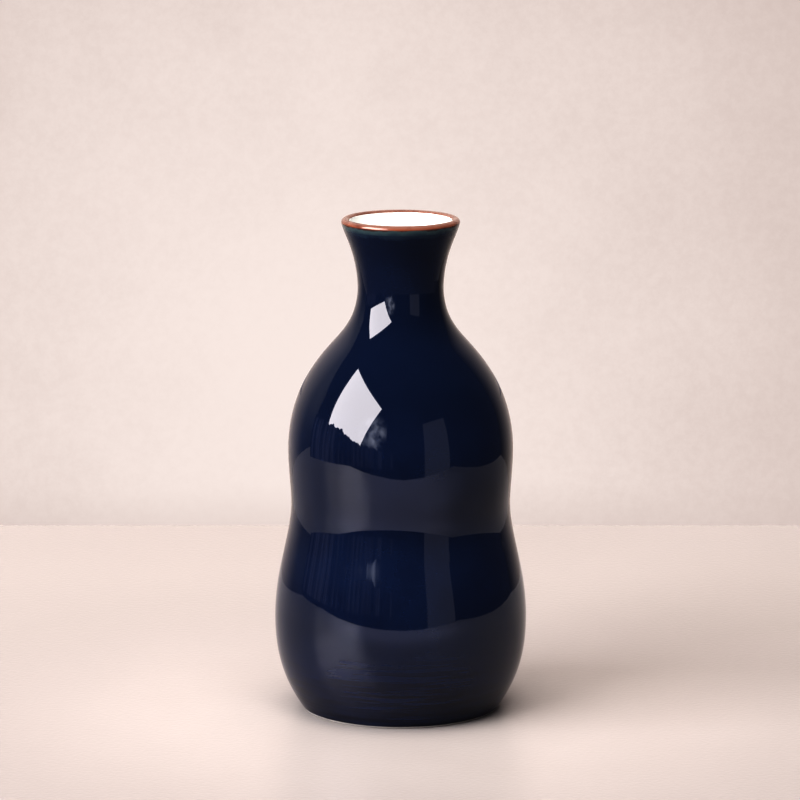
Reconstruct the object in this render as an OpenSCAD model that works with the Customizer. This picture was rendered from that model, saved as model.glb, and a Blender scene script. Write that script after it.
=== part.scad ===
// Gourd-shaped sake bottle: a thin porcelain wall with two bulbs, standing on a bare
// foot ring and covered by thin glaze coats that meet edge to edge.
// Millimetres. The bottle stands on z = 0 and its axis of revolution is Z.

/* [Overall] */
// Height from the table to the top of the lip
height = 155; // [150:1:162]
// Thickness of the finished wall, glaze included, which is also the lip's thickness
wall = 2.6; // [2.2:0.1:3]
// Thickness of every glaze coat
coat = 0.35; // [0.2:0.05:0.5]

/* [Lower bulb] */
// Diameter at the lower edge of the blue glaze
foot_d = 62.4; // [60:0.2:64]
// Outward lean of the wall above the foot, in mm per mm of height
foot_lean = 0.69; // [0.6:0.01:0.8]
// Radius of the wall's bow just above the foot
foot_bow = 60; // [48:1:80]
// Diameter of the lower bulb at its widest
belly_d = 79; // [76:0.2:82]
// Height of the lower bulb's widest circle, as a share of the bottle's height
belly_level = 0.185; // [0.17:0.005:0.2]
// Radius of the wall's bow at the belly
belly_bow = 74; // [60:1:95]

/* [Waist] */
// Diameter at the waist between the bulbs
waist_d = 68.5; // [66:0.2:69.5]
// Height of the waist, as a share of the bottle's height
waist_level = 0.4225; // [0.41:0.0025:0.435]
// Radius of the hollow at the waist
waist_bow = 31; // [26:1:45]

/* [Upper bulb] */
// Diameter of the upper bulb at its widest
bulb_d = 70.3; // [69.9:0.2:73]
// Height of the upper bulb's widest circle, as a share of the bottle's height
bulb_level = 0.531; // [0.525:0.002:0.545]
// Radius of the wall's bow at the upper bulb
bulb_bow = 47.5; // [38:0.5:60]
// Diameter halfway up the shoulder
shoulder_d = 44.5; // [43:0.5:46]
// Height of that point, as a share of the bottle's height
shoulder_level = 0.7405; // [0.73:0.0025:0.75]
// Inward fall of the shoulder, in mm per mm of height
shoulder_fall = 0.885; // [0.8:0.005:0.95]
// Radius of the shoulder's bow
shoulder_bow = 74; // [62:1:95]

/* [Neck and lip] */
// Diameter at the narrowest circle of the neck
neck_d = 26.7; // [25:0.1:28.5]
// Height of the neck's narrowest circle, as a share of the bottle's height
neck_level = 0.8615; // [0.855:0.0025:0.87]
// Radius of the hollow at the neck
neck_bow = 21.6; // [18:0.2:26]
// Outside diameter of the lip
lip_d = 36.8; // [35:0.2:38.5]
// Outward lean of the wall under the lip, in mm per mm of height
lip_lean = 0.25; // [0.12:0.01:0.4]
// Radius of the flare's bow under the lip
lip_bow = 12.3; // [10:0.1:18]

/* [Inside] */
// Height of the inside floor above the table, glaze included
floor_level = 6; // [5.5:0.1:8]
// Height at which the wall turns into the rounded floor
bowl_level = 15; // [12:0.5:20]

/* [Foot ring] */
// Depth of the hollow under the base, which is also the foot ring's height
ring_h = 2.2; // [1.8:0.1:2.8]
// Width of the foot ring, from its inside to its outside
ring_w = 3.4; // [2.6:0.1:4.5]
// Rounding of the foot ring's two lower edges
ring_round = 0.4; // [0.2:0.05:0.5]
// Height of the bare clay that shows under the blue glaze
bare_h = 0.72; // [0.6:0.02:1]

/* [Glaze borders] */
// Height of the band of thin teal glaze under the brown lip
teal_h = 1.4; // [0.8:0.1:2.5]
// How far the brown glaze reaches below level on the outside of the lip's roll, in degrees
brown_outside = 4; // [0:1:5]
// How far the brown glaze reaches past the top on the inside of the lip's roll, in degrees
brown_inside = 61; // [50:1:66]
// Height at which the clear glaze stops on the inside of the foot ring
skirt_level = 0.9; // [0.7:0.05:1.2]

/* [Hidden] */

$fn = 128;
// Straight steps along each stretch of the outline
blue_steps = 84;
teal_steps = 3;
inner_steps = 76;
roll_steps = 18;
bowl_steps = 12;
round_steps = 4;

// The lip is a half round between the outer and the inner face of the wall
roll_r = wall / 2;
lip_tilt = atan(lip_lean);
lip_level = height - roll_r * (1 + sin(lip_tilt));
teal_level = lip_level - teal_h;

// A station of the outer face: [height, radius, slope dr/dz, second derivative].
// The bow is the radius of curvature, and is negative where the wall hollows in.
function station(level, radius, slope, bow) =
    [level, radius, slope, -pow(1 + slope^2, 1.5) / bow];

// Belly, waist, bulb and neck are the circles where the wall stands upright
stations = [
    station(bare_h, foot_d / 2, foot_lean, foot_bow),
    station(height * belly_level, belly_d / 2, 0, belly_bow),
    station(height * waist_level, waist_d / 2, 0, -waist_bow),
    station(height * bulb_level, bulb_d / 2, 0, bulb_bow),
    station(height * shoulder_level, shoulder_d / 2, -shoulder_fall, shoulder_bow),
    station(height * neck_level, neck_d / 2, 0, -neck_bow),
    station(lip_level, lip_d / 2 - roll_r * (1 - cos(lip_tilt)), lip_lean, lip_bow)
];

// One end's share of the quintic curve between two stations, and that share's slope.
// t runs from 0 at this end to 1 at the other, and h is the height from this end to it.
function pull(s, h, t) =
    s[1] * (1 + 3 * t + 6 * t^2) + s[2] * h * (t + 3 * t^2) + s[3] * h^2 * t^2 / 2;
function pull_rate(s, h, t) =
    s[1] * (3 + 12 * t) + s[2] * h * (1 + 6 * t) + s[3] * h^2 * t;
function share(s, h, t) = (1 - t)^3 * pull(s, h, t);
function share_slope(s, h, t) =
    ((1 - t)^3 * pull_rate(s, h, t) - 3 * (1 - t)^2 * pull(s, h, t)) / h;

function span_at(z, i = 0) =
    i == len(stations) - 2 || z <= stations[i + 1][0] ? i : span_at(z, i + 1);

// The outer face at a height: [radius, height, slope]
function face_at(z) =
    let (
        i = span_at(z),
        a = stations[i],
        b = stations[i + 1],
        h = b[0] - a[0],
        t = (z - a[0]) / h
    )
    [
        share(a, h, t) + share(b, -h, 1 - t),
        z,
        share_slope(a, h, t) + share_slope(b, -h, 1 - t)
    ];

// The point at a depth under the outer face, measured square to it
function under(face, depth) =
    let (n = norm([1, face[2]]))
    [face[0] - depth / n, face[1] + depth * face[2] / n];

// Evenly spaced numbers from a to b
function steps(a, b, n) = [for (i = [0 : n]) a + (b - a) * i / n];
function reverse(list) = [for (i = [len(list) - 1 : -1 : 0]) list[i]];

blue_faces = [for (z = steps(bare_h, teal_level, blue_steps)) face_at(z)];
teal_faces = [for (z = steps(teal_level, lip_level, teal_steps)) face_at(z)];
inner_faces = [for (z = steps(lip_level, bowl_level, inner_steps)) face_at(z)];

function wall_points(faces, depth) = [for (f = faces) under(f, depth)];

// The lip's half round at a depth under the glaze, between two angles above level
function roll_points(from, to, n, depth) =
    let (centre = under(face_at(lip_level), roll_r))
    [for (a = steps(from, to, n)) centre + (roll_r - depth) * [cos(a), sin(a)]];
roll_start = -lip_tilt;
roll_end = 180 - lip_tilt;
brown_start = -brown_outside;
brown_end = 90 + brown_inside;
brown_steps = roll_steps - 2;

// The rounded inside floor: a cubic curve from the wall, which it leaves in line, to the
// axis, which it meets level. Each handle is a share of the distance it has to cover.
bowl_drop = 0.5;
bowl_reach = 0.55;
function bowl_points(depth) =
    let (
        face = face_at(bowl_level),
        a = under(face, wall - depth),
        d = [0, floor_level - depth],
        drop = (a[1] - d[1]) * bowl_drop,
        b = a - drop * [face[2], 1],
        c = [a[0] * bowl_reach, d[1]]
    )
    [
        for (t = steps(0, 1, bowl_steps))
        (1 - t)^3 * a + 3 * (1 - t)^2 * t * b + 3 * (1 - t) * t^2 * c + t^3 * d
    ];

// The finished face of each glaze, or the clay's face under it, at a depth of one coat
function teal_line(depth) = concat(
    wall_points(teal_faces, depth),
    roll_points(roll_start, brown_start, 1, depth)
);
function brown_line(depth) = roll_points(brown_start, brown_end, brown_steps, depth);
function inner_line(depth) = concat(
    roll_points(brown_end, roll_end, 1, depth),
    wall_points(inner_faces, wall - depth),
    bowl_points(depth)
);

// The foot ring's outer face stands upright below the clay's edge of the blue glaze
ring_out = under(blue_faces[0], coat)[0];
ring_in = ring_out - ring_w;

function quarter_round(centre, from) =
    [for (a = steps(from, from + 90, round_steps)) centre + ring_round * [cos(a), sin(a)]];

module clay_section() {
    polygon(concat(
        wall_points(blue_faces, coat),
        teal_line(coat),
        brown_line(coat),
        inner_line(coat),
        [[0, ring_h], [ring_in, ring_h]],
        quarter_round([ring_in + ring_round, ring_round], 180),
        quarter_round([ring_out - ring_round, ring_round], 270)
    ));
}

module below_ring_top() {
    square([ring_out + wall, ring_h]);
}

// A coat between its finished line and the clay line under it
module coat_ring(finished, clay) {
    rotate_extrude() polygon(concat(finished, reverse(clay)));
}

// The whole clay wall, from the lip down to the flat underside that the foot ring meets
module porcelain_body() {
    color("#e9e5dc") rotate_extrude() difference() {
        clay_section();
        below_ring_top();
    }
}

// The bare ring of clay that the bottle stands on
module foot_ring() {
    color("#ddd5c6") rotate_extrude() intersection() {
        clay_section();
        below_ring_top();
    }
}

// The dark blue coat, from just above the table to just under the lip
module blue_glaze_coat() {
    color("#0d1430") coat_ring(wall_points(blue_faces, 0), wall_points(blue_faces, coat));
}

// The top edge of the blue coat, where it thins to teal
module teal_glaze_line() {
    color("#1d4652") coat_ring(teal_line(0), teal_line(coat));
}

// The brown iron glaze over the lip
module brown_rim_glaze() {
    color("#8f4a2c") coat_ring(brown_line(0), brown_line(coat));
}

// The clear glaze that shows the white clay inside, from the lip to the floor
module clear_inner_glaze() {
    color("#f7f5f0") coat_ring(inner_line(0), inner_line(coat));
}

// The clear glaze under the base, with its skirt down the inside of the foot ring
module clear_base_glaze() {
    color("#f1eee6") rotate_extrude() polygon([
        [0, ring_h],
        [ring_in, ring_h],
        [ring_in, skirt_level],
        [ring_in - coat, skirt_level],
        [ring_in - coat, ring_h - coat],
        [0, ring_h - coat]
    ]);
}

porcelain_body();
foot_ring();
blue_glaze_coat();
teal_glaze_line();
brown_rim_glaze();
clear_inner_glaze();
clear_base_glaze();
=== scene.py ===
import math

import bmesh
import bpy
import numpy as np
from mathutils import Matrix, Vector, noise


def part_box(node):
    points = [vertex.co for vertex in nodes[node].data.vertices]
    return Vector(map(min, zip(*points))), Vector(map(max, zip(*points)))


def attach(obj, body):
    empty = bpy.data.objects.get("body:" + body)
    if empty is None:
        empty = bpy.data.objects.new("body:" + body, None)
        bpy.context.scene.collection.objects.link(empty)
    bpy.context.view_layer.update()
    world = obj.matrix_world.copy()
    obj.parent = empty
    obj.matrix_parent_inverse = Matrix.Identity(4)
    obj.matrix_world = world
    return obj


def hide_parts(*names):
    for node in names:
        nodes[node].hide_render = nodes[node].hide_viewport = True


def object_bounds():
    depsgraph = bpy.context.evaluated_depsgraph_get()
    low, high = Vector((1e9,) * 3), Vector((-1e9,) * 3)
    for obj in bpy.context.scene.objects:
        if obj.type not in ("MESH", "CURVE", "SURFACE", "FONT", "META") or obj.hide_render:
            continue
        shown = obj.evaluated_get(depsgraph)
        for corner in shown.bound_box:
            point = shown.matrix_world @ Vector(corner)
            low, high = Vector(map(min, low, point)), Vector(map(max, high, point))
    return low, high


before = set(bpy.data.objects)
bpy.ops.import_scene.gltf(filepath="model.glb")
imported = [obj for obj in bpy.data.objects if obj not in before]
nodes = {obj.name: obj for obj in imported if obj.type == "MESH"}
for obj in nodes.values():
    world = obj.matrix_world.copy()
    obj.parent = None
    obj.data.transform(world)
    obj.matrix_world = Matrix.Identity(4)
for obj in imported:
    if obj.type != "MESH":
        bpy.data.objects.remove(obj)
cad_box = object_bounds()
height = cad_box[1].z

MM = 0.001

# ---------------------------------------------------------------------------
# The camera, at the photograph's viewing angle
# ---------------------------------------------------------------------------

CAMERA_BACK = 8.845 * height    # in front of the bottle's axis
CAMERA_UP = 2.333 * height      # above the floor
CAMERA_LEFT = 0.2 * MM          # sets the bottle just right of the frame's middle
CAMERA_PITCH = math.radians(10.9)
CAMERA_LENS = 201.5


def make_camera():
    data = bpy.data.cameras.new("camera")
    data.lens = CAMERA_LENS
    data.sensor_width = 36.0
    camera = bpy.data.objects.new("camera", data)
    camera.location = (-CAMERA_LEFT, -CAMERA_BACK, CAMERA_UP)
    camera.rotation_euler = (math.pi / 2 - CAMERA_PITCH, 0, 0)
    bpy.context.scene.collection.objects.link(camera)
    bpy.context.scene.camera = camera


make_camera()

# ---------------------------------------------------------------------------
# Outlines, read from the CAD. Every node is turned round Z, so the edges of its
# mesh in the half plane y = 0, x >= 0 are the outline that it was turned from.
# ---------------------------------------------------------------------------

SAME_PLACE = 1e-6       # points of a mesh closer than this are one
ON_CLAY = 0.1 * MM      # a coat's point closer than this to the clay's outline lies on it


def outline(node):
    """A CAD node's outline as (radius, height) points in order."""
    solid = bmesh.new()
    solid.from_mesh(nodes[node].data)
    bmesh.ops.remove_doubles(solid, verts=solid.verts, dist=SAME_PLACE)
    seam = {v for v in solid.verts if abs(v.co.y) < SAME_PLACE and v.co.x > -SAME_PLACE}
    beside = {v: {e.other_vert(v) for e in v.link_edges} & seam for v in seam}
    # an outline that meets the axis is open there, and is walked from there
    walk = [min(seam, key=lambda v: (len(beside[v]), v.co.z, v.co.x))]
    while beside[walk[-1]] - set(walk):
        walk.append(min(beside[walk[-1]] - set(walk), key=lambda v: (v.co.z, v.co.x)))
    points = [(v.co.x, v.co.z) for v in walk]
    solid.free()
    return points


outlines = {node: outline(node) for node in nodes}


def lies_on_clay(point):
    for node in ("porcelain_body", "foot_ring"):
        starts = np.array(outlines[node])
        sides = np.roll(starts, -1, axis=0) - starts
        reach = ((point - starts) * sides).sum(axis=1) / (sides**2).sum(axis=1)
        nearest = starts + np.clip(reach, 0, 1)[:, None] * sides
        if np.linalg.norm(nearest - point, axis=1).min() < ON_CLAY:
            return True
    return False


def stretch(node, on_clay):
    """The points of a coat's outline that lie on the clay, or those that don't, in order."""
    points = outlines[node]
    picked = [lies_on_clay(point) == on_clay for point in points]
    # turn the loop round so that the stretch doesn't run over its ends
    start = next(i for i in range(len(points)) if picked[i] and not picked[i - 1])
    turned = points[start:] + points[:start]
    return [point for point, keep in zip(turned, picked[start:] + picked[:start]) if keep]


def gap(a, b):
    return math.dist(a, b)


class Line:
    """A smooth line through points: a cubic spline in the distance along them."""

    def __init__(self, points):
        self.points = np.array(points, float)
        steps = np.linalg.norm(np.diff(self.points, axis=0), axis=1)
        self.at = np.concatenate([[0.0], np.cumsum(steps)])
        self.bends = self._bends(steps)

    def _bends(self, steps):
        """The spline's second derivatives at the points, with none at its two ends."""
        count = len(self.points)
        left = np.eye(count)
        right = np.zeros((count, 2))
        slopes = np.diff(self.points, axis=0) / steps[:, None]
        for i in range(1, count - 1):
            left[i, i - 1 : i + 2] = steps[i - 1], 2 * (steps[i - 1] + steps[i]), steps[i]
            right[i] = 6 * (slopes[i] - slopes[i - 1])
        return np.linalg.solve(left, right)

    def __call__(self, along):
        i = np.clip(np.searchsorted(self.at, along, side="right") - 1, 0, len(self.at) - 2)
        step = (self.at[i + 1] - self.at[i])[:, None]
        b = (along - self.at[i])[:, None] / step
        a = 1 - b
        bend = (a**3 - a) * self.bends[i] + (b**3 - b) * self.bends[i + 1]
        return a * self.points[i] + b * self.points[i + 1] + bend * step**2 / 6


def finished_lines():
    """One line over the whole finished skin, from the foot over the lip to the inside floor,
    and the stretch of it that belongs to each coat."""
    names = ["blue_glaze_coat", "teal_glaze_line", "brown_rim_glaze", "clear_inner_glaze"]
    whole, ends = [], []
    for name in names:
        points = stretch(name, on_clay=False)
        backwards = (
            gap(points[-1], whole[-1]) < gap(points[0], whole[-1])
            if whole
            else points[-1][1] < points[0][1]
        )
        if backwards:
            points.reverse()
        whole += points[1:] if whole else points
        ends.append(len(whole) - 1)
    line = Line(whole)
    starts = [0] + ends[:-1]
    return line, {n: (line.at[a], line.at[b]) for n, a, b in zip(names, starts, ends)}


skin, spans = finished_lines()

# ---------------------------------------------------------------------------
# The hand in the work: how far the finished skin stands off the CAD's outline
# ---------------------------------------------------------------------------

WAVE_DEPTH = 0.014 * MM         # slow waves left by the thrower's hand
WAVE_LENGTH = 19 * MM
FINE_WAVE_SHARE, FINE_WAVE_PITCH = 0.3, 2.7
PULL_DEPTH = 0.005 * MM         # level rings from pulling up the wall
PULL_LENGTH = 7.5 * MM
RING_DEPTH = 0.0095 * MM        # fine turning rings above the foot
RING_LENGTH = 1.25 * MM
RING_LOW, RING_HIGH = 2 * MM, 21 * MM
RING_DRIFT, RING_DRIFT_LENGTH = 0.35, 6 * MM            # in turns of the wave
RING_MEAN, RING_UNEVEN, RING_UNEVEN_LENGTH = 0.8, 0.6, 3.1 * MM
FINE_RING_SHARE, FINE_RING_PITCH, FINE_RING_SHIFT = 0.3, 1.71, 1.3
SAG_LEVEL = 62.5 * MM           # the front of the waist stands out a little above this, and in below
SAG_SLOPE = 0.053               # change of radius per height in the middle of the sag
SAG_LEAN = 0.8                  # how much stronger it is to the right than to the left
SAG_REACH = 11 * MM
SAG_SIDE = 0.65                 # sine of the angle round the bottle where it is in full


def smooth_step(low, high, value):
    t = min(1.0, max(0.0, (value - low) / (high - low)))
    return t * t * (3 - 2 * t)


def turning_rings(angle, z):
    """Fine rings that a tool left above the foot, uneven in depth and not quite level."""
    shows = smooth_step(RING_LOW, 2 * RING_LOW, z)
    shows *= 1 - smooth_step(0.5 * RING_HIGH, RING_HIGH, z)
    if shows == 0:
        return 0.0
    place = Vector((math.cos(angle), math.sin(angle), z / RING_DRIFT_LENGTH))
    phase = 2 * math.pi * (z / RING_LENGTH + RING_DRIFT * noise.noise(place))
    place = Vector((7.3, 0.4 * math.cos(angle), z / RING_UNEVEN_LENGTH))
    uneven = RING_MEAN + RING_UNEVEN * noise.noise(place)
    fine = FINE_RING_SHARE * math.sin(FINE_RING_PITCH * phase + FINE_RING_SHIFT)
    return RING_DEPTH * shows * uneven * (math.sin(phase) + fine)


def waist_sag(angle, z):
    """On the front, the hollow of the waist sits a little lower than at the sides."""
    front = smooth_step(0.0, SAG_SIDE, -math.sin(angle))
    above = z - SAG_LEVEL
    slope = SAG_SLOPE * (1 + SAG_LEAN * math.cos(angle))
    return slope * front * above * math.exp(-((above / SAG_REACH) ** 2))


def stand_off(angle, radius, z, outside):
    """Outward distance from the CAD's outline, in metres, at a place on the skin. The waist
    sags and the turning rings show only on the outside of the wall."""
    place = Vector((radius * math.cos(angle), radius * math.sin(angle), z)) / WAVE_LENGTH
    wave = WAVE_DEPTH * noise.noise(place)
    wave += FINE_WAVE_SHARE * WAVE_DEPTH * noise.noise(FINE_WAVE_PITCH * place)
    pull = PULL_DEPTH * noise.noise(Vector((0.3 * math.cos(angle), 4.1, z / PULL_LENGTH)))
    if not outside:
        return wave + pull
    return wave + pull + waist_sag(angle, z) + turning_rings(angle, z)


# ---------------------------------------------------------------------------
# Turned pieces
# ---------------------------------------------------------------------------

SEGMENTS = 256                  # steps round the bottle
SHARP = math.radians(40)        # edges that bend more than this are sharp
SHORT_ROW = 0.3                 # a last row shorter than this share of its neighbour is left out


def turn(name, section, finished, outside):
    """A closed solid turned round Z from a section. Its first finished points stand off the
    outline by stand_off, and the rest stay where the CAD has them."""
    section = np.array(section, float)
    ahead, behind = np.roll(section, -1, axis=0), np.roll(section, 1, axis=0)
    ahead[finished - 1], behind[0] = section[finished - 1], section[0]
    along = ahead - behind
    normals = np.stack([along[:, 1], -along[:, 0]], axis=1)
    normals /= np.linalg.norm(normals, axis=1)[:, None]
    vertices, rows = [], []
    for i, (radius, z) in enumerate(section):
        if radius < SAME_PLACE:
            rows.append([len(vertices)] * SEGMENTS)
            vertices.append((0.0, 0.0, z))
            continue
        rows.append(range(len(vertices), len(vertices) + SEGMENTS))
        for k in range(SEGMENTS):
            angle = 2 * math.pi * k / SEGMENTS
            off = stand_off(angle, radius, z, outside) if i < finished else 0.0
            r, h = radius + off * normals[i, 0], z + off * normals[i, 1]
            vertices.append((r * math.cos(angle), r * math.sin(angle), h))
    faces = []
    for i in range(len(rows)):
        low, high = rows[i], rows[(i + 1) % len(rows)]
        if low[0] == low[1] and high[0] == high[1]:
            continue
        for k in range(SEGMENTS):
            m = (k + 1) % SEGMENTS
            corners = [low[k], low[m], high[m], high[k]]
            faces.append(tuple(dict.fromkeys(corners)))
    mesh = bpy.data.meshes.new(name)
    mesh.from_pydata(vertices, [], faces)
    mesh.validate()
    mesh.polygons.foreach_set("use_smooth", [True] * len(mesh.polygons))
    mesh.set_sharp_from_angle(angle=SHARP)
    piece = bpy.data.objects.new(name, mesh)
    bpy.context.scene.collection.objects.link(piece)
    return piece


def rows_along(span, spacing):
    """Distances along the skin over a span, about spacing(height) apart."""
    found = [span[0]]
    while found[-1] < span[1]:
        z = float(skin(np.array([found[-1]]))[0][1])
        found.append(found[-1] + spacing(z))
    found[-1] = span[1]
    if found[-1] - found[-2] < SHORT_ROW * (found[-2] - found[-3]):
        del found[-2]
    return np.array(found)


def coat(node, spacing, clay_step):
    """A glaze coat: the smooth finished skin, closed by the clay's face under it. Every
    clay_step-th point of that face is enough, because it never shows."""
    name = node + "_skin"
    finished = [tuple(point) for point in skin(rows_along(spans[node], spacing))]
    clay = stretch(node, on_clay=True)
    if gap(clay[0], finished[-1]) > gap(clay[-1], finished[-1]):
        clay.reverse()
    kept = clay[:-1:clay_step] + clay[-1:]
    outside = node != "clear_inner_glaze"
    return turn(name, finished + kept, len(finished), outside)


def dress(piece, node, finish):
    """Puts a piece in a CAD node's place, with its material."""
    piece.data.materials.append(finish)
    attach(piece, "root")
    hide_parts(node)


# ---------------------------------------------------------------------------
# Materials
# ---------------------------------------------------------------------------


class Graph:
    """The nodes of a material or of the world, with short ways to add and join them."""

    def __init__(self, owner, coordinates="Object"):
        self.owner = owner
        owner.use_nodes = True
        self.tree = owner.node_tree
        self.place = self.add("TexCoord").outputs[coordinates]

    def add(self, kind, inputs=(), **settings):
        made = self.tree.nodes.new("ShaderNode" + kind)
        for name, value in settings.items():
            setattr(made, name, value)
        for socket, value in dict(inputs).items():
            self.put(made.inputs[socket], value)
        return made

    def put(self, socket, value):
        if isinstance(value, bpy.types.NodeSocket):
            self.tree.links.new(value, socket)
        else:
            socket.default_value = value

    def noise(self, size, detail=3.0, rough=0.5, squash=1.0):
        """Noise from 0 to 1 with features of about size metres, squashed squash times along Z."""
        place = self.add("Mapping", {"Vector": self.place, "Scale": (1, 1, squash)}).outputs[0]
        inputs = {"Vector": place, "Scale": 1 / size, "Detail": detail, "Roughness": rough}
        return self.add("TexNoise", inputs).outputs[0]

    def axes(self):
        return self.add("SeparateXYZ", {0: self.place}).outputs

    def distance(self, point):
        made = self.add("VectorMath", {0: self.place, 1: point}, operation="DISTANCE")
        return made.outputs["Value"]

    def spread(self, value, low, high, start=0.0, end=1.0):
        """Start where value is low or less, end where it is high or more, and smooth between."""
        inputs = {"Value": value, "From Min": low, "From Max": high, "To Min": start, "To Max": end}
        return self.add("MapRange", inputs, interpolation_type="SMOOTHSTEP").outputs[0]

    def math(self, operation, *values):
        return self.add("Math", dict(enumerate(values)), operation=operation).outputs[0]

    def mix(self, share, first, second):
        made = self.add("Mix", {0: share, 6: first, 7: second}, data_type="RGBA")
        return made.outputs[2]

    def bump(self, value, depth):
        """A bump whose value from 0 to 1 stands for depth metres."""
        return self.add("Bump", {"Height": value, "Distance": depth, "Strength": 1.0}).outputs[0]

    def paint(self, colour, rough, bump=None, **others):
        """Sets the sockets of the Principled shader, and gives the material back."""
        shader = self.tree.nodes["Principled BSDF"]
        self.put(shader.inputs["Base Color"], colour)
        self.put(shader.inputs["Roughness"], rough)
        if bump is not None:
            self.put(shader.inputs["Normal"], bump)
        for name, value in others.items():
            self.put(shader.inputs[name.replace("_", " ")], value)
        return self.owner

    def light(self, colour, strength=1.0):
        return self.add("Emission", {"Color": colour, "Strength": strength}).outputs[0]

    def fading(self, light, share):
        """A light that gives way to what is behind the surface, wholly so where share is 1."""
        clear = self.add("BsdfTransparent").outputs[0]
        return self.add("MixShader", {0: share, 1: light, 2: clear}).outputs[0]

    def veil(self, light):
        """A light that is added to what is behind the surface."""
        clear = self.add("BsdfTransparent").outputs[0]
        return self.add("AddShader", {0: light, 1: clear}).outputs[0]

    def ray_depth(self):
        return self.add("LightPath").outputs["Ray Depth"]

    def only(self, surface):
        """Puts this surface in the Principled shader's place, and gives the material back."""
        self.tree.nodes.remove(self.tree.nodes["Principled BSDF"])
        self.put(self.tree.nodes["Material Output"].inputs["Surface"], surface)
        return self.owner


def material(name):
    return Graph(bpy.data.materials.new(name))


def mix_colours(first, second, share):
    return tuple(a + (b - a) * share for a, b in zip(first, second))


NAVY = (0.0035, 0.0093, 0.0305, 1)
NAVY_THICK = (0.0024, 0.0061, 0.0212, 1)
NAVY_THIN = (0.0052, 0.0143, 0.0420, 1)
NAVY_DEEP = (0.0014, 0.0030, 0.0110, 1)
NAVY_LOW_PAINTED_LIGHT = (0.0042, 0.0120, 0.0450, 1)
NAVY_PAINTED_SHADE = (0.0013, 0.0042, 0.0140, 1)
TEAL = (0.054, 0.088, 0.093, 1)
BROWN = (0.205, 0.072, 0.038, 1)
BROWN_DARK = (0.050, 0.014, 0.008, 1)
BROWN_TOP_PAINTED_LIGHT = (0.115, 0.066, 0.053, 1)
WHITE = (0.54, 0.56, 0.535, 1)
WHITE_COOL = (0.49, 0.52, 0.51, 1)
CLAY = (0.40, 0.385, 0.36, 1)
CLAY_DARK = (0.24, 0.215, 0.19, 1)

CLOUDS = (0.35, 0.7)                    # the values of a noise between which clouds build up
NEARLY_ALL = (0.3, 0.7)                 # the values that most of a noise lies between
STREAKS, STREAK_SHARE = (0.4, 0.85), 0.15
RINGS, RING_SHARE = (0.40, 0.60), 0.85
RINGS_FADE = (0.5 * RING_HIGH, 1.4 * RING_HIGH)
SHADE_RISE = (85 * MM, 105 * MM)        # painted shade: the blue is darker over the shoulder, where the light from above falls most
SHADE_FALL = (122 * MM, 138 * MM)
SHADE_SHARE = 0.75
THIN_EDGE = 1.6 * MM                    # the blue thins over this height under the teal
THIN_SHARE = 0.8
TEAL_IN_BLUE, TEAL_AT_FOOT = 0.25, 0.35
BROWN_PATCHES, PATCH_SHARE = (0.45, 0.75), 0.6
BROWN_EDGE = 0.35 * MM                  # the brown and the teal darken over this height
EDGE_SHARE, TEAL_EDGE_SHARE = 0.7, 0.8
PITS, PIT_SHARE = (0.55, 0.75), 0.7
CLAY_CLOUD_SHARE = 0.35
GLAZE_ROUGH, RIM_ROUGH, CLAY_ROUGH = (0.025, 0.05), (0.06, 0.12), (0.7, 0.9)
PEEL_DEPTH, GRAIN_DEPTH = 0.004 * MM, 0.05 * MM
GLAZE_IOR = 1.5


def glaze_gloss(g):
    """Roughness of a glossy glaze, a little uneven."""
    return g.spread(g.noise(12 * MM, detail=2.0), *NEARLY_ALL, *GLAZE_ROUGH)


def glaze_skin(g):
    """The faint orange peel of a fired glaze."""
    return g.bump(g.noise(3.2 * MM, detail=1.0), PEEL_DEPTH)


def wandering(g, z, size, reach):
    """A height that wanders up and down by reach round the bottle, for an uneven border."""
    wander = g.spread(g.noise(size, detail=2.0, squash=0.3), *NEARLY_ALL, -reach, reach)
    return g.math("ADD", z, wander)


def coat_heights(node):
    """The heights where a coat's stretch of the skin starts and stops."""
    return [float(skin(np.array([along]))[0][1]) for along in spans[node]]


def blue_glaze():
    g = material("blue_glaze")
    z = g.axes()["Z"]
    cloud = g.spread(g.noise(26 * MM, detail=4.0, rough=0.55), *CLOUDS)
    colour = g.mix(cloud, NAVY_THICK, NAVY)
    streak = g.noise(2.4 * MM, rough=0.6, squash=5.0)
    colour = g.mix(g.spread(streak, *STREAKS, 0.0, STREAK_SHARE), colour, NAVY_THIN)
    # painted light: the blue is brighter low on the body, over the turning rings, as if more light
    # fell there
    low = g.spread(z, *RINGS_FADE, RING_SHARE, 0.0)
    colour = g.mix(low, colour, NAVY_LOW_PAINTED_LIGHT)
    ring = g.spread(g.noise(30 * MM, rough=0.7, squash=20.0), *RINGS)
    colour = g.mix(g.math("MULTIPLY", ring, low), colour, NAVY_DEEP)
    # painted shade: the blue is darkened over the shoulder, where the light from above falls most
    rise = g.spread(z, *SHADE_RISE, 0.0, SHADE_SHARE)
    shade = g.math("MULTIPLY", rise, g.spread(z, *SHADE_FALL, 1.0, 0.0))
    colour = g.mix(shade, colour, NAVY_PAINTED_SHADE)
    border = coat_heights("blue_glaze_coat")[1]
    top = g.spread(wandering(g, z, 4 * MM, 0.4 * MM), border - THIN_EDGE, border, 0.0, THIN_SHARE)
    colour = g.mix(top, colour, mix_colours(NAVY_THIN, TEAL, TEAL_IN_BLUE))
    return g.paint(colour, glaze_gloss(g), glaze_skin(g), IOR=GLAZE_IOR)


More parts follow.
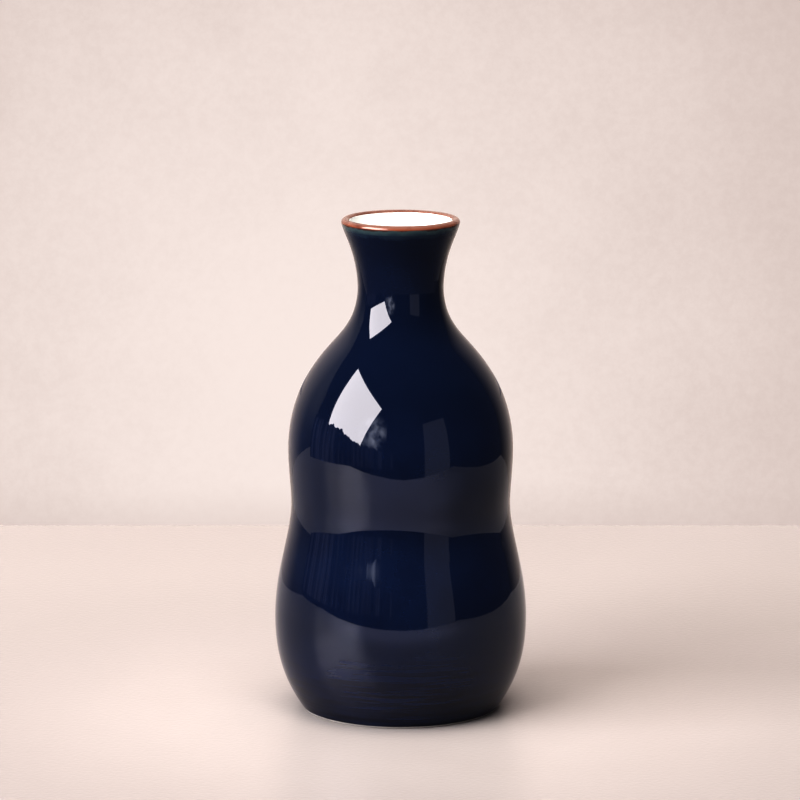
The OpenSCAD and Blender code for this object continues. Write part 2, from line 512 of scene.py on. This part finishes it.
def teal_glaze():
    g = material("teal_glaze")
    low, high = coat_heights("teal_glaze_line")
    z = wandering(g, g.axes()["Z"], 3 * MM, 0.3 * MM)
    rise = g.spread(z, low - 0.3 * MM, high - 0.3 * MM)
    colour = g.mix(rise, mix_colours(NAVY_THIN, TEAL, TEAL_AT_FOOT), TEAL)
    edge = g.spread(z, high - BROWN_EDGE, high + 0.1 * MM, 0.0, TEAL_EDGE_SHARE)
    colour = g.mix(edge, colour, BROWN_DARK)
    return g.paint(colour, glaze_gloss(g), glaze_skin(g), IOR=GLAZE_IOR)


def brown_glaze():
    g = material("brown_glaze")
    low, high = (corner.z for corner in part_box("brown_rim_glaze"))
    z = g.axes()["Z"]
    # painted light: the rim turns greyer towards its top, where it catches the light from above
    colour = g.mix(g.spread(z, low, high), BROWN, BROWN_TOP_PAINTED_LIGHT)
    patch = g.spread(g.noise(5 * MM, detail=4.0, rough=0.6), *BROWN_PATCHES, 0.0, PATCH_SHARE)
    colour = g.mix(patch, colour, BROWN_DARK)
    edge = g.spread(z, low, low + BROWN_EDGE, EDGE_SHARE, 0.0)
    colour = g.mix(edge, colour, BROWN_DARK)
    rough = g.spread(g.noise(2 * MM), *NEARLY_ALL, *RIM_ROUGH)
    return g.paint(colour, rough, glaze_skin(g), IOR=GLAZE_IOR)


def clear_glaze():
    g = material("clear_glaze")
    colour = g.mix(g.spread(g.noise(15 * MM), *CLOUDS), WHITE, WHITE_COOL)
    return g.paint(colour, glaze_gloss(g), glaze_skin(g), IOR=GLAZE_IOR)


def bare_clay():
    g = material("bare_clay")
    cloud = g.spread(g.noise(9 * MM), *CLOUDS)
    colour = g.mix(cloud, CLAY, mix_colours(CLAY, CLAY_DARK, CLAY_CLOUD_SHARE))
    grain = g.noise(0.5 * MM, detail=5.0, rough=0.7)
    colour = g.mix(g.spread(grain, *PITS, 0.0, PIT_SHARE), colour, CLAY_DARK)
    rough = g.spread(grain, *NEARLY_ALL, *CLAY_ROUGH)
    return g.paint(colour, rough, g.bump(grain, GRAIN_DEPTH), IOR=GLAZE_IOR)


# ---------------------------------------------------------------------------
# The pieces
# ---------------------------------------------------------------------------

RING_ROWS, BLUE_ROWS, TEAL_ROWS, BROWN_ROWS, INNER_ROWS = (
    spacing * MM for spacing in (0.17, 0.82, 0.12, 0.06, 0.8)
)


def blue_rows(z):
    """Rows are close enough for the turning rings above the foot, and further apart over them."""
    return RING_ROWS if z < RING_HIGH else BLUE_ROWS


def make_pieces():
    clear = clear_glaze()
    dress(coat("blue_glaze_coat", blue_rows, 4), "blue_glaze_coat", blue_glaze())
    teal = coat("teal_glaze_line", lambda z: TEAL_ROWS, 1)
    dress(teal, "teal_glaze_line", teal_glaze())
    brown = coat("brown_rim_glaze", lambda z: BROWN_ROWS, 1)
    dress(brown, "brown_rim_glaze", brown_glaze())
    inner = coat("clear_inner_glaze", lambda z: INNER_ROWS, 4)
    dress(inner, "clear_inner_glaze", clear)
    clay = bare_clay()
    kept = {"porcelain_body": clay, "foot_ring": clay, "clear_base_glaze": clear}
    for node, finish in kept.items():
        nodes[node].data.materials.clear()
        nodes[node].data.materials.append(finish)


make_pieces()

# ---------------------------------------------------------------------------
# The studio: a pale board to stand on, a pale backdrop, and soft light. Sheets that
# only the glaze mirrors stand in for the room round it.
# ---------------------------------------------------------------------------

BOARD_FRONT, BOARD_BACK = -0.34, 0.26
BOARD_LEFT, BOARD_RIGHT = -1.20, 0.45
BOARD = (0.176, 0.162, 0.152, 1)
BOARD_DARK = (0.166, 0.151, 0.141, 1)
BOARD_PAINTED_FALLOFF = (0.130, 0.118, 0.110, 1)
BOARD_EDGE_SHADE = (0.075, 0.068, 0.064, 1)
BOARD_SHEEN = (0.80, 0.775, 0.76, 1)
BOARD_SHINE = (0.80, 0.78, 1.00, 1)
BOARD_ROUGH = 0.36
BOARD_MIDDLE = (0, -0.02, 0)            # painted light: the board is painted palest round this place
BOARD_LIGHT_FADE = (0.05, 0.15)               # from it, to its painted darker colour
BOARD_EDGE_SHADE_FADE = (0.15, 0.35)          # painted shade: to the right, the board darkens towards its edge
SHINE_FULL, SHINE_DULL = 0.5, 0.12      # specular levels
DULL_SLOPE = 0.577                      # the dull part lies left of a line with this slope
DULL_SIDE = (-0.15, 0.20)               # height over that line, as a share of the distance
DULL_DISTANCE = (0.10, 0.19)

WALL_HEIGHT = 0.60
WALL_NEAR = (0.40, 0.36, 0.33, 1)
WALL_MOTTLE_AND_SHADE = (0.020, 0.018, 0.017, 1)
WALL_SHADE_FADE = (0.08, 0.52)
WALL_CLOUD_SHARE = 0.15
WALL_ROUGH = 0.6

ROOM = (0.13, 0.12, 0.15, 1)
FIRST_MIRRORED = 1.5    # a ray straight from the camera's first mirror has a depth of 1


def board_paint():
    g = material("board_paint")
    cloud = g.spread(g.noise(60 * MM, detail=5.0, rough=0.6), *CLOUDS)
    colour = g.mix(cloud, BOARD, BOARD_DARK)
    away = g.distance(BOARD_MIDDLE)
    # painted light: a pool of light painted round the bottle, darker with distance
    colour = g.mix(g.spread(away, *BOARD_LIGHT_FADE), colour, BOARD_PAINTED_FALLOFF)
    x, y, _ = g.axes()
    # painted shade: the board darkens to the right
    colour = g.mix(g.spread(x, *BOARD_EDGE_SHADE_FADE), colour, BOARD_EDGE_SHADE)
    # far out to the left the board is duller, which narrows the window's shine in the glaze
    left = g.math("SUBTRACT", y, g.math("MULTIPLY", x, DULL_SLOPE))
    left = g.spread(g.math("DIVIDE", left, away), *DULL_SIDE)
    dull = g.math("MULTIPLY", left, g.spread(away, *DULL_DISTANCE))
    return g.paint(
        colour,
        BOARD_ROUGH,
        g.bump(g.noise(1.5 * MM), GRAIN_DEPTH),
        IOR=1.5,
        Specular_IOR_Level=g.spread(dull, 0.0, 1.0, SHINE_FULL, SHINE_DULL),
        Specular_Tint=BOARD_SHINE,
        Sheen_Weight=1.0,
        Sheen_Roughness=0.4,
        Sheen_Tint=BOARD_SHEEN,
    )


def wall_paint():
    """The wall behind, with painted shade that fades it into the dark room at its sides, and a faint
    mottle.
    """
    g = material("wall_paint")
    # painted shade: the wall darkens towards its sides; the mottle darkens towards the same colour
    aside = g.spread(g.math("ABSOLUTE", g.axes()["X"]), *WALL_SHADE_FADE)
    cloud = g.noise(60 * MM, detail=5.0, rough=0.6)
    cloud = g.spread(cloud, *CLOUDS, 0.0, WALL_CLOUD_SHARE)
    return g.paint(g.mix(g.math("MAXIMUM", aside, cloud), WALL_NEAR, WALL_MOTTLE_AND_SHADE), WALL_ROUGH)


def plain_light(name, colour, strength):
    g = material(name)
    return g.only(g.light(colour, strength))


def sheet(name, corners, finish, faces=None):
    """A thin sheet of the studio."""
    mesh = bpy.data.meshes.new(name)
    mesh.from_pydata(corners, [], faces or [tuple(range(len(corners)))])
    mesh.materials.append(finish)
    board = bpy.data.objects.new(name, mesh)
    bpy.context.scene.collection.objects.link(board)
    return board


def mirrored_sheet(name, corners, finish, faces=None):
    """A sheet that is out of sight and gives no light, but shows in the glaze."""
    board = sheet(name, corners, finish, faces)
    board.visible_camera = False
    board.visible_shadow = False
    board.visible_diffuse = False


def around(azimuth, distance, z):
    """A place round the bottle: azimuth in degrees, 0 to the front and positive to the right."""
    angle = math.radians(azimuth)
    return (distance * math.sin(angle), -distance * math.cos(angle), z)


def make_boards():
    left, right, front, back = BOARD_LEFT, BOARD_RIGHT, BOARD_FRONT, BOARD_BACK
    floor = [(left, front, 0), (right, front, 0), (right, back, 0), (left, back, 0)]
    sheet("floor_board", floor, board_paint())
    top = WALL_HEIGHT
    wall = [(left, back, 0), (right, back, 0), (right, back, top), (left, back, top)]
    # the wall lights the bottle and shows in its glaze, but never hides it in a view from behind
    sheet("wall_board", wall, wall_paint()).visible_camera = False


SCREEN_DISTANCE = 0.30
SCREEN_LOW = 0.040
SCREEN_STEP = 0.5                       # degrees
SCREEN_TOPS = [                         # azimuth in degrees, and height
    (-100, 0.150),
    (-86, 0.156),
    (-66, 0.156),
    (-44, 0.117),
    (-38, 0.116),
    (-20, 0.100),
    (-6, 0.096),
]
RAGGED = [                              # depth, width in degrees, and a place in the noise
    (0.009, 3, 0.5, 2.1),
    (0.004, 0.9, 3.5, 0.1),
]
ROOM_STREAK = (0.60, 0.58, 0.78, 1)
ROOM_STREAKS = (0.42, 0.74)


def streaks():
    """Painted reflection: dim glowing upright streaks, as of stems and frames against a dark room.
    """
    g = material("streaks")
    streak = g.noise(17 * MM, detail=2.5, rough=0.55, squash=0.05)
    light = g.light(g.mix(g.spread(streak, *ROOM_STREAKS), ROOM, ROOM_STREAK))
    later = g.math("GREATER_THAN", g.ray_depth(), FIRST_MIRRORED)
    return g.only(g.fading(light, later))


def make_screen():
    """A painted dark reflection: a sheet seen only in the glaze, between the bottle and the window's
    foot, with a ragged top.
    """
    first, last = SCREEN_TOPS[0][0], SCREEN_TOPS[-1][0]
    azimuths = np.arange(first, last + 0.2 * SCREEN_STEP, SCREEN_STEP)
    tops = np.interp(azimuths, *zip(*SCREEN_TOPS))
    corners, faces = [], []
    for i, (azimuth, top) in enumerate(zip(azimuths, tops)):
        for depth, width, y, z in RAGGED:
            top += depth * noise.noise(Vector((azimuth / width, y, z)))
        corners += [around(azimuth, SCREEN_DISTANCE, z) for z in (SCREEN_LOW, top)]
        if i:
            faces.append((2 * i - 2, 2 * i, 2 * i + 1, 2 * i - 1))
    mirrored_sheet("window_foot", corners, streaks(), faces)


SHELF_LEVEL = 0.100
SHELF_INSIDE, SHELF_OUTSIDE = 0.037, 0.26
SHELF_STEPS = 64
SHELF_BACK = (0.0, 0.08)                # behind the bottle the shelf fades out
NECK_DARK = (0.26, 0.25, 0.32, 1)


def seen_from_above():
    """A plain glow on the upper side of a level sheet, and nothing on its lower side."""
    g = material("neck_painted_reflection")
    below = g.add("NewGeometry").outputs["Backfacing"]
    unseen = g.math("MAXIMUM", below, g.spread(g.axes()["Y"], *SHELF_BACK))
    return g.only(g.fading(g.light(NECK_DARK), unseen))


def make_shelf():
    """Painted reflection: what the neck mirrors below the level of the eye, a dim glow for the room
    in place of the board.
    """
    corners, faces = [], []
    for i in range(SHELF_STEPS):
        azimuth = 360 / SHELF_STEPS * i
        corners += [around(azimuth, r, SHELF_LEVEL) for r in (SHELF_INSIDE, SHELF_OUTSIDE)]
        j = (i + 1) % SHELF_STEPS
        faces.append((2 * i, 2 * i + 1, 2 * j + 1, 2 * j))
    mirrored_sheet("shelf", corners, seen_from_above(), faces)


WINDOW_PLACE = (-1.265, -0.832, 0.788)
WINDOW_FACING = (-0.671, -0.366, 0.644)
WINDOW_LEVEL = (0.344, -0.924, -0.168)
WINDOW_SIZE = (1.42, 1.27)
WINDOW_COLOUR, WINDOW_STRENGTH = (1.0, 0.95, 0.965, 1), 18.7


def facing_frame(facing, level):
    """The axes of a rectangle with its back towards facing and its width along level."""
    z = Vector(facing).normalized()
    x = (Vector(level) - Vector(level).dot(z) * z).normalized()
    return x, z.cross(x), z


def make_window():
    """The window as the glaze mirrors it."""
    x, y, _ = facing_frame(WINDOW_FACING, WINDOW_LEVEL)
    x, y = 0.5 * WINDOW_SIZE[0] * x, 0.5 * WINDOW_SIZE[1] * y
    middle = Vector(WINDOW_PLACE)
    corners = [middle - x - y, middle + x - y, middle + x + y, middle - x + y]
    light = plain_light("window_light", WINDOW_COLOUR, WINDOW_STRENGTH)
    mirrored_sheet("window", corners, light)


DOOR_DISTANCE = 1.5
DOOR_CORNERS = [(24, -0.5), (51, -0.5), (49, 0.75), (24, 0.70)]         # azimuth and height
DOOR_COLOUR, DOOR_STRENGTH = (0.95, 0.9, 1.0, 1), 0.75


def make_door():
    """Painted reflection: a dim glowing sheet, seen only in the glaze, for the pale upright band
    right of the bottle's middle.
    """
    corners = [around(azimuth, DOOR_DISTANCE, z) for azimuth, z in DOOR_CORNERS]
    mirrored_sheet("door", corners, plain_light("pale_door_glow", DOOR_COLOUR, DOOR_STRENGTH))


CURTAIN_DISTANCE = 0.33
CURTAIN_CORNERS = [(-52, 0.09), (-14, 0.09), (-14, 0.26), (-52, 0.26)]  # azimuth and height
CURTAIN_MIDDLE = (-0.150, -0.289, 0.170)
CURTAIN_FADE = (0.010, 0.100)
CLOTH = (8.0, 8.2, 9.2, 1)
FOLDS = (0.32, 0.75)


def make_curtain():
    """Painted reflection: a thin rumpled cloth that glows by the window's edge, and fades out all
    round.
    """
    g = material("curtain")
    fold = g.spread(g.noise(55 * MM, detail=4.0, rough=0.55), *FOLDS)
    reach = g.spread(g.distance(CURTAIN_MIDDLE), *CURTAIN_FADE, 1.0, 0.0)
    first = g.math("LESS_THAN", g.ray_depth(), FIRST_MIRRORED)
    shows = g.math("MULTIPLY", g.math("MULTIPLY", reach, fold), first)
    corners = [around(azimuth, CURTAIN_DISTANCE, z) for azimuth, z in CURTAIN_CORNERS]
    mirrored_sheet("curtain", corners, g.only(g.veil(g.light(CLOTH, shows))))


FRONT_GLOW = (0.48, 0.50, 0.76, 1)
FRONT_SIDE, FRONT_NEAR, FRONT_LIFT = 0.34, -0.10, 0.4 * MM
FRONT_FADE = (-0.22, -0.10)
FRONT_SIDE_FADE, FRONT_SIDE_SHARE = (0.06, 0.30), 0.25


def make_front_glow():
    """A faint cool light over the front of the board, strongest at its middle."""
    g = material("front_glow")
    x, y, _ = g.axes()
    aside = g.spread(g.math("ABSOLUTE", x), *FRONT_SIDE_FADE, 1.0, FRONT_SIDE_SHARE)
    shows = g.math("MULTIPLY", aside, g.spread(y, *FRONT_FADE, 1.0, 0.0))
    side, z = FRONT_SIDE, FRONT_LIFT
    far = [(-side, BOARD_FRONT, z), (side, BOARD_FRONT, z)]
    near = [(side, FRONT_NEAR, z), (-side, FRONT_NEAR, z)]
    mirrored_sheet("front_shine", far + near, g.only(g.veil(g.light(FRONT_GLOW, shows))))


# what the camera sees of the backdrop, as view directions
BACKDROP = (0.965, 0.872, 0.835, 1)
BACKDROP_SHADE = (0.735, 0.635, 0.600, 1)
GLOW_ASIDE, GLOW_WIDTH = -0.020, 0.180
GLOW_LEVEL, GLOW_HEIGHT = -0.185, 0.205
BACKDROP_CLOUD, CLOUD_REACH = 0.04, 0.05
BACKDROP_GRAIN, GRAIN_REACH = 0.0022, 0.045
SEAM_LEVEL, SEAM_HEIGHT, SEAM_SHADE_SHARE = -0.218, 0.012, 0.35


def make_world():
    """A dim room all round, and for the camera a mottled pale backdrop with a painted pool of light
    by the bottle and painted shade where it meets the floor.
    """
    world = bpy.data.worlds.new("studio")
    bpy.context.scene.world = world
    g = Graph(world, "Generated")
    x, _, z = g.axes()
    aside = g.math("DIVIDE", g.math("SUBTRACT", x, GLOW_ASIDE), GLOW_WIDTH)
    above = g.math("DIVIDE", g.math("SUBTRACT", z, GLOW_LEVEL), GLOW_HEIGHT)
    away = g.add("CombineXYZ", {0: aside, 1: above}).outputs[0]
    away = g.add("VectorMath", {0: away}, operation="LENGTH").outputs["Value"]
    cloud = g.noise(BACKDROP_CLOUD, detail=4.0, rough=0.6)
    away = g.math("ADD", away, g.spread(cloud, *NEARLY_ALL, -CLOUD_REACH, CLOUD_REACH))
    grain = g.noise(BACKDROP_GRAIN, detail=5.0, rough=0.75)
    away = g.math("ADD", away, g.spread(grain, *NEARLY_ALL, -GRAIN_REACH, GRAIN_REACH))
    # painted light: the backdrop is brightest by the bottle and painted darker away from it
    backdrop = g.mix(g.spread(away, 0.0, 1.0), BACKDROP, BACKDROP_SHADE)
    # painted shade: a darker band where the backdrop meets the floor
    seam = g.spread(z, SEAM_LEVEL, SEAM_LEVEL + SEAM_HEIGHT, SEAM_SHADE_SHARE, 0.0)
    backdrop = g.mix(seam, backdrop, BACKDROP_SHADE)
    seen = g.add("LightPath").outputs["Is Camera Ray"]
    g.put(g.tree.nodes["Background"].inputs["Color"], g.mix(seen, ROOM, backdrop))


DAYLIGHT = {
    "place": (-2.15, -1.30, 1.12),
    "facing": (-0.79, -0.46, 0.40),
    "size": (2.6, 2.6),
    "colour": (1, 0.97, 0.99),
    "watts": 128,
}
BOUNCE = {
    "place": (-0.20, -0.55, 2.33),
    "facing": (-0.08, -0.23, 0.97),
    "size": (2.2, 2.2),
    "colour": (1, 0.935, 0.90),
    "watts": 270,
}


def make_panel(name, place, facing, size, colour, watts):
    """A soft rectangular light with its back towards facing, which the glaze doesn't mirror."""
    data = bpy.data.lights.new(name, "AREA")
    data.shape = "RECTANGLE"
    data.size, data.size_y = size
    data.color = colour
    data.energy = watts
    axes = Matrix(facing_frame(facing, (0, 1, 0))).transposed().to_4x4()
    light = bpy.data.objects.new(name, data)
    light.matrix_world = Matrix.Translation(place) @ axes
    light.visible_camera = False
    light.visible_glossy = False
    bpy.context.scene.collection.objects.link(light)


make_boards()
make_screen()
make_shelf()
make_window()
make_door()
make_curtain()
make_front_glow()
make_world()
make_panel("daylight", **DAYLIGHT)
make_panel("bounce", **BOUNCE)

view = bpy.context.scene.view_settings
view.view_transform = "Standard"
view.look = "None"
view.gamma = 0.667
